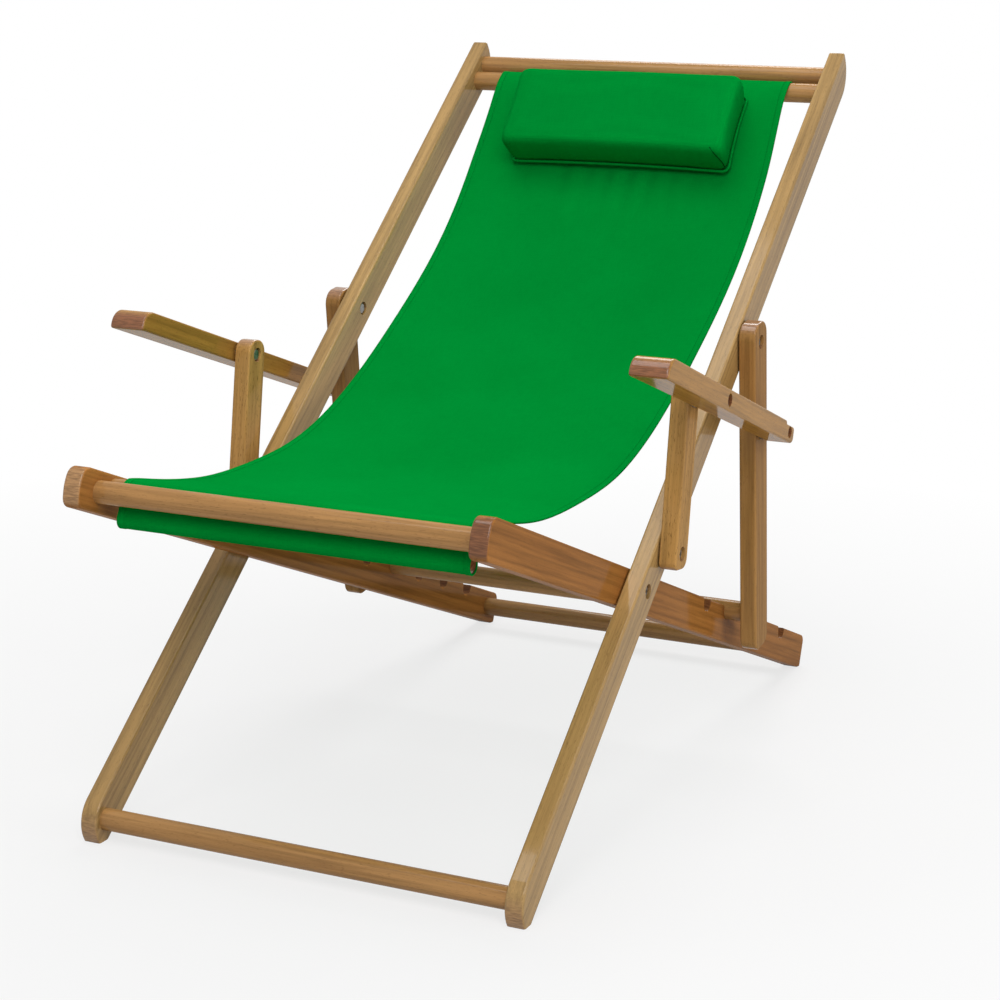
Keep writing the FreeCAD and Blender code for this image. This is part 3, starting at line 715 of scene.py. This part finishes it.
# The front of the pillow stands higher and wider than its base, most in the middle of the upper edge
RIM_RISE, CROWN, RIM_WIDEN = 0.004, 0.006, 0.035
pillow = mesh_object("pillow_cushion", *pillow_shell(SHELL_SHRINK))
inflate(pillow, SWELL)
co = points_of(pillow)
co[:, 2] = np.clip(co[:, 2], BASE_LIFT, None)
out = np.clip(co[:, 2] / PILLOW_H, 0, 1)
co[:, 2] += SURFACE_WAVE * out ** 3 * np.sin(co[:, 0] * 31 + 1.0) * np.sin(co[:, 1] * 40)
toward_top = np.clip(2 * co[:, 1] / PILLOW_L, 0, 1) ** 2
crown = np.clip(1 - (2 * co[:, 0] / PILLOW_W) ** 2, 0, 1)
co[:, 1] += (RIM_RISE + CROWN * crown) * toward_top * out ** 2
co[:, 0] *= 1 + RIM_WIDEN * out
set_points(pillow, co)
sub = pillow.modifiers.new("smooth", "SUBSURF")
sub.levels = sub.render_levels = 1
bake(pillow)
pillow.data.polygons.foreach_set("use_smooth", [True] * len(pillow.data.polygons))
pillow.data.materials.append(canvas_pillow)
pillow.matrix_world = pillow_matrix


def tube(name, points, radius, sides=8, closed=True):
    """Round cord along a line of points."""
    p = np.array(points, float)
    count = len(p)
    verts, faces = [], []
    for i in range(count):
        a = p[(i + 1) % count] - p[i - 1] if closed else p[min(i + 1, count - 1)] - p[max(i - 1, 0)]
        a /= np.linalg.norm(a)
        u = np.cross(a, (0.13, 0.21, 0.97))
        u /= np.linalg.norm(u)
        v = np.cross(a, u)
        for q in range(sides):
            t = 2 * math.pi * q / sides
            verts.append(p[i] + radius * (u * math.cos(t) + v * math.sin(t)))
    for i in range(count if closed else count - 1):
        n = (i + 1) % count
        for q in range(sides):
            r = (q + 1) % sides
            faces.append([i * sides + q, i * sides + r, n * sides + r, n * sides + q])
    if not closed:
        faces.append([q for q in reversed(range(sides))])
        faces.append([(count - 1) * sides + q for q in range(sides)])
    obj = mesh_object(name, verts, faces)
    obj.data.materials.append(canvas_pillow)
    return obj


def on_pillow(x, y, z):
    """Nearest point of the cushion's surface."""
    return tuple(pillow.closest_point_on_mesh(Vector((x, y, z)))[1])


WELT_OUT, WELT_UP, WELT_R = 0.0006, 0.0026, 0.0018
SEAM_R, SEAM_STEP, SEAM_LEAN = 0.0007, 0.0015, 0.009
SEAM_POINTS = ((0.003, 0.0), (0.012, 0.0), (0.024, 0.0), (0.034, 0.0), (0.043, 0.001), (0.049, 0.004))
CORNERS = {"lower_right": (1, -1), "upper_right": (1, 1), "upper_left": (-1, 1), "lower_left": (-1, -1)}
welt = tube("pillow_welt", pillow_ring(-WELT_OUT, WELT_UP, 60), WELT_R)
welt.matrix_world = pillow_matrix
seams = []
for label, (sx, sy) in CORNERS.items():
    line = []
    for z, inset in SEAM_POINTS:
        reach = CORNER * (1 - math.sqrt(0.5)) + inset
        lean = SEAM_LEAN * (z / PILLOW_H) ** 2
        line.append(on_pillow(sx * (PILLOW_W / 2 - reach - lean), sy * (PILLOW_L / 2 - reach), z))
    seam = tube("pillow_seam_" + label, spline_points(line, SEAM_STEP), SEAM_R, 6, False)
    # The lower right seam tube is coloured very dark: a painted shadow in the crease at that corner.
    if label == "lower_right":
        seam.data.materials[0] = seam_shadow_mat
    seam.matrix_world = pillow_matrix
    seams.append(seam)

# What rides on what

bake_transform(sling)
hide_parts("sling")
for obj in hem_stitches:
    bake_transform(obj)
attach(pillow, "back_frame")
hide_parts("pillow_cover", "pillow_foam")
for obj in [welt] + seams:
    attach(obj, "back_frame")


# Stage, light and camera

def emitter(name, place, target, size, power):
    data = bpy.data.lights.new(name, "AREA")
    data.shape = "RECTANGLE"
    data.size, data.size_y = size
    data.energy = power
    lamp = bpy.data.objects.new(name, data)
    lamp.location = place
    lamp.rotation_mode = "QUATERNION"
    lamp.rotation_quaternion = (Vector(target) - Vector(place)).to_track_quat("-Z", "Y")
    scene.collection.objects.link(lamp)


FLOOR_HALF, FLOOR_GREY, FADE_REACH = 30, 0.62, 2.0
corners = [(sx * FLOOR_HALF, sy * FLOOR_HALF, 0) for sx, sy in ((-1, -1), (1, -1), (1, 1), (-1, 1))]
floor = mesh_object("floor", corners, [[0, 1, 2, 3]], False)
mat, tree, bsdf = new_material("floor_white")
bsdf.inputs["Base Color"].default_value = (FLOOR_GREY, FLOOR_GREY, FLOOR_GREY, 1)
bsdf.inputs["Roughness"].default_value = 0.9
bsdf.inputs["Specular IOR Level"].default_value = 0.1
white = node(tree, "ShaderNodeEmission", in_Strength=1.0)
lights = node(tree, "ShaderNodeLightPath")
shown = math_node(tree, "MAXIMUM", lights.outputs["Is Camera Ray"], lights.outputs["Is Glossy Ray"])
shown = math_node(tree, "MAXIMUM", shown, lights.outputs["Is Transmission Ray"])
place = node(tree, "ShaderNodeTexCoord")
reach = node(tree, "ShaderNodeVectorMath", operation="LENGTH")
tree.links.new(place.outputs["Object"], reach.inputs[0])
far = math_node(tree, "DIVIDE", reach.outputs["Value"], FADE_REACH)
fade = ramp(tree, far, [(0.30, 0.74), (0.85, 1.0)])
both = node(tree, "ShaderNodeMixShader")
tree.links.new(math_node(tree, "MULTIPLY", shown, fade), both.inputs[0])
tree.links.new(bsdf.outputs["BSDF"], both.inputs[1])
tree.links.new(white.outputs["Emission"], both.inputs[2])
surface = next(n for n in tree.nodes if n.type == "OUTPUT_MATERIAL")
tree.links.new(both.outputs["Shader"], surface.inputs["Surface"])
floor.data.materials.append(mat)

world = bpy.data.worlds.new("studio")
scene.world = world
world.use_nodes = True
wt = world.node_tree
background = wt.nodes["Background"]
background.inputs["Color"].default_value = (1, 1, 1, 1)
path_node = wt.nodes.new("ShaderNodeLightPath")
seen = math_node(wt, "MAXIMUM", path_node.outputs["Is Camera Ray"], path_node.outputs["Is Glossy Ray"])
seen = math_node(wt, "MAXIMUM", seen, path_node.outputs["Is Transmission Ray"])
# The world is white where it is seen, and lights the chair at a lower level
WORLD_LIGHT = 0.28
level = math_node(wt, "MULTIPLY_ADD", seen, 1 - WORLD_LIGHT)
level.node.inputs[2].default_value = WORLD_LIGHT
wt.links.new(level, background.inputs["Strength"])

AIM = (0, 0, 0.4)
emitter("key", (1.2, -2.5, 2.6), AIM, (2.0, 2.0), 68)
emitter("side", (3.0, -0.4, 1.0), AIM, (1.6, 1.6), 24)
emitter("top", (-0.2, -0.6, 3.2), (0, -0.1, 0.4), (1.8, 1.8), 36)
emitter("rear", (-0.3, 2.4, 2.6), (0, -0.2, 0.4), (2.0, 1.4), 60)

YAW, PITCH, ROLL = (math.radians(v) for v in (25.4045, -13.3408, 0.626))
FOCAL_PX, IMAGE_PX, AXIS_PX, SENSOR_MM = 2346.5, 1000.0, (450.0, 500.0), 36.0
CAMERA_PLACE = (1.1437, -2.5118, 0.9719)
forward = Vector((-math.sin(YAW) * math.cos(PITCH), math.cos(YAW) * math.cos(PITCH), math.sin(PITCH)))
right0 = Vector((math.cos(YAW), math.sin(YAW), 0))
up0 = right0.cross(forward)
right = right0 * math.cos(ROLL) + up0 * math.sin(ROLL)
up_axis = up0 * math.cos(ROLL) - right0 * math.sin(ROLL)
cam_data = bpy.data.cameras.new("camera")
cam_data.sensor_width = SENSOR_MM
cam_data.lens = SENSOR_MM * FOCAL_PX / IMAGE_PX
cam_data.shift_x = (IMAGE_PX / 2 - AXIS_PX[0]) / IMAGE_PX
cam_data.shift_y = (AXIS_PX[1] - IMAGE_PX / 2) / IMAGE_PX
camera = bpy.data.objects.new("camera", cam_data)
scene.collection.objects.link(camera)
rotation = Matrix((right, up_axis, -forward)).transposed().to_4x4()
camera.matrix_world = Matrix.Translation(CAMERA_PLACE) @ rotation
scene.camera = camera
